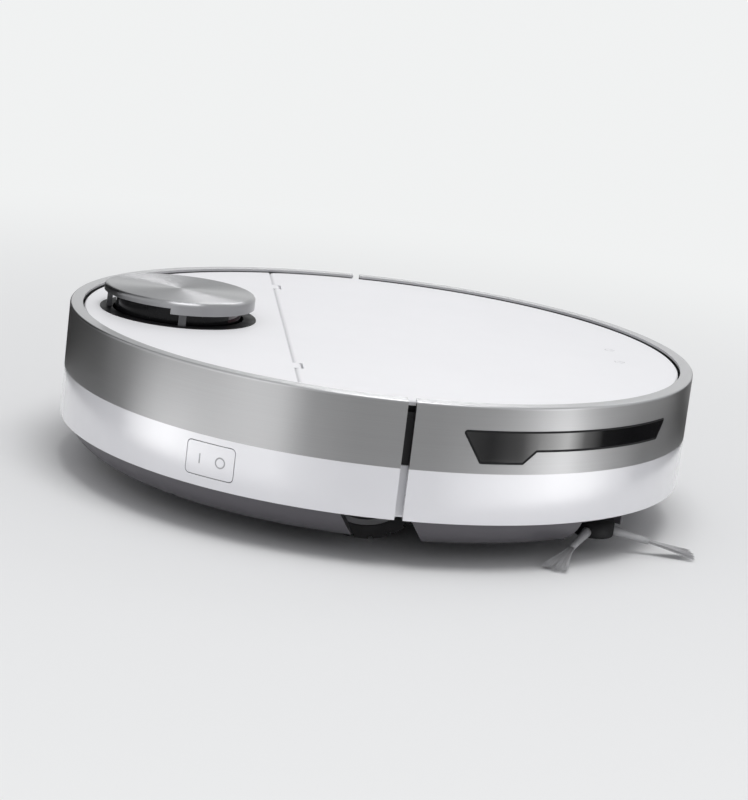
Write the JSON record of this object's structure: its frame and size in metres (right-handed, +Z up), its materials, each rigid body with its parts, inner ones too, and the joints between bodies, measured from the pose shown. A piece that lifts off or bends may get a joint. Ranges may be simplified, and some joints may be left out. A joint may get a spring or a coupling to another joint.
{
  "type": "robot vacuum",
  "caption": "Round robot floor vacuum with laser turret, sprung bumper, hinged lid over a lift-out dustbin, driven wheels, roller and a side brush.",
  "frame": {"origin": "on the floor under the centre of the round body", "axes": "+X the way the robot drives, +Y its left, +Z up"},
  "size_m": [0.35, 0.35, 0.0998],
  "materials": {
    "white_gloss": "glossy white",
    "brushed_metal": "brushed, fine horizontal lines",
    "trim_metal": "satin rim",
    "cap_metal": "spun disc",
    "window_black": "polished black",
    "charcoal": "fine texture",
    "black_plastic": "matte",
    "grey_plastic": "satin",
    "turret_black": "glossy",
    "lens": "tinted",
    "tyre_rubber": "blocked tread",
    "soft_rubber": "matte",
    "bin_smoke": "see-through smoke",
    "filter_paper": "pleated",
    "steel": "turned",
    "spring_steel": "drawn wire",
    "contact_plate": "plated",
    "board_green": "solder mask",
    "battery_wrap": "sleeved",
    "bristle": "bristles"
  },
  "bodies": {
    "chassis": {"base_plate": "charcoal", "frame_wall": "black_plastic", "top_deck": "black_plastic", "wheel_housing_left": "black_plastic", "wheel_housing_right": "black_plastic", "caster_housing": "black_plastic", "rear_band_white": "white_gloss", "rear_band_metal": "brushed_metal", "rear_trim_ring": "trim_metal", "rear_cover": "white_gloss", "pivot_pins": "steel", "bumper_springs": "spring_steel", "bumper_switches": "black_plastic", "turret_ring": "turret_black", "turret_posts": "trim_metal", "turret_cap": "cap_metal", "lidar_base": "black_plastic", "lidar_motor": "steel", "lidar_belt": "soft_rubber", "roller_housing": "charcoal", "roller_bearings": "steel", "roller_guard": "charcoal", "roller_gearmotor": "black_plastic", "side_brush_motor": "black_plastic", "fan_housing": "black_plastic", "fan_motor": "steel", "battery_pack": "battery_wrap", "battery_door": "charcoal", "main_board": "board_green", "speaker": "black_plastic", "cliff_sensors": "window_black", "charge_contacts": "contact_plate", "chassis_screws": "steel", "switch_frame": "black_plastic"},
    "bumper": {"bumper_frame": "black_plastic", "front_band_white": "white_gloss", "front_band_metal": "brushed_metal", "front_trim_ring": "trim_metal", "sensor_windows": "window_black"},
    "lid": {"front_lid": "white_gloss"},
    "dustbin": {"dustbin_body": "bin_smoke", "dustbin_cover": "grey_plastic", "dustbin_filter": "filter_paper"},
    "evacuation_flap": {"evacuation_flap": "soft_rubber"},
    "laser_head": {"lidar_rotor": "turret_black", "lidar_lens": "lens"},
    "laser_pulley": {"lidar_pulley": "grey_plastic"},
    "arm_left": {"wheel_arm_left": "charcoal"},
    "arm_right": {"wheel_arm_right": "charcoal"},
    "wheel_left": {"drive_wheel_left": "grey_plastic", "tyre_left": "tyre_rubber"},
    "wheel_right": {"drive_wheel_right": "grey_plastic", "tyre_right": "tyre_rubber"},
    "caster_fork": {"caster_fork": "charcoal"},
    "caster_wheel": {"caster_wheel": "grey_plastic"},
    "main_roller": {"main_roller": "bristle"},
    "side_brush": {"side_brush": "bristle"},
    "fan_impeller": {"fan_impeller": "grey_plastic"},
    "power_rocker": {"power_rocker": "white_gloss"}
  },
  "joints": [
    {"name": "bumper_slide", "type": "slide", "parent": "chassis", "child": "bumper", "axis": [-1, 0, 0], "range_m": [0, 0.003], "stiffness_N_per_m": 300, "springref_m": -0.004, "deforming": ["bumper_springs"]},
    {"name": "lid_hinge", "type": "hinge", "parent": "chassis", "child": "lid", "pos_m": [-0.0541, 0, 0.0838], "axis": [0, -1, 0], "range_deg": [0, 80]},
    {"name": "dustbin_lift", "type": "slide", "parent": "chassis", "child": "dustbin", "axis": [0, 0, 1], "range_m": [0, 0.068]},
    {"name": "flap_hinge", "type": "hinge", "parent": "dustbin", "child": "evacuation_flap", "pos_m": [-0.0101, 0, 0.0137], "axis": [0, 1, 0], "range_deg": [0, 30], "stiffness_Nm_per_rad": 0.004, "springref_deg": -34.38},
    {"name": "laser_spin", "type": "hinge", "parent": "chassis", "child": "laser_head", "pos_m": [-0.115, 0, 0.086], "axis": [0, 0, 1], "continuous": true},
    {"name": "laser_pulley_spin", "type": "hinge", "parent": "chassis", "child": "laser_pulley", "pos_m": [-0.152, 0, 0.073], "axis": [0, 0, 1], "continuous": true},
    {"name": "suspension_left", "type": "hinge", "parent": "chassis", "child": "arm_left", "pos_m": [-0.052, 0.094, 0.044], "axis": [0, 1, 0], "range_deg": [0, 25]},
    {"name": "suspension_right", "type": "hinge", "parent": "chassis", "child": "arm_right", "pos_m": [-0.052, -0.094, 0.044], "axis": [0, 1, 0], "range_deg": [0, 25]},
    {"name": "wheel_spin_left", "type": "hinge", "parent": "arm_left", "child": "wheel_left", "pos_m": [-0.012, 0.1115, 0.035], "axis": [0, 1, 0], "continuous": true},
    {"name": "wheel_spin_right", "type": "hinge", "parent": "arm_right", "child": "wheel_right", "pos_m": [-0.012, -0.1115, 0.035], "axis": [0, 1, 0], "continuous": true},
    {"name": "caster_swivel", "type": "hinge", "parent": "chassis", "child": "caster_fork", "pos_m": [0.126, 0, 0.03], "axis": [0, 0, 1], "continuous": true},
    {"name": "caster_roll", "type": "hinge", "parent": "caster_fork", "child": "caster_wheel", "pos_m": [0.12, 0, 0.011], "axis": [0, 1, 0], "continuous": true},
    {"name": "roller_spin", "type": "hinge", "parent": "chassis", "child": "main_roller", "pos_m": [0.038, 0, 0.021], "axis": [0, 1, 0], "continuous": true},
    {"name": "side_brush_spin", "type": "hinge", "parent": "chassis", "child": "side_brush", "pos_m": [0.11303, -0.10401, 0.013], "axis": [0, 0, 1], "continuous": true},
    {"name": "fan_spin", "type": "hinge", "parent": "chassis", "child": "fan_impeller", "pos_m": [-0.035, 0, 0.048], "axis": [1, 0, 0], "continuous": true},
    {"name": "power_rock", "type": "hinge", "parent": "chassis", "child": "power_rocker", "pos_m": [-0.09302, -0.14134, 0.0403], "axis": [0, 0, 1], "range_deg": [-3, 3]}
  ],
  "couplings": [
    {"joint": "dustbin_lift", "follows": "lid_hinge", "m_per_rad": 0.048},
    {"joint": "laser_pulley_spin", "follows": "laser_spin", "ratio": 4.4}
  ]
}
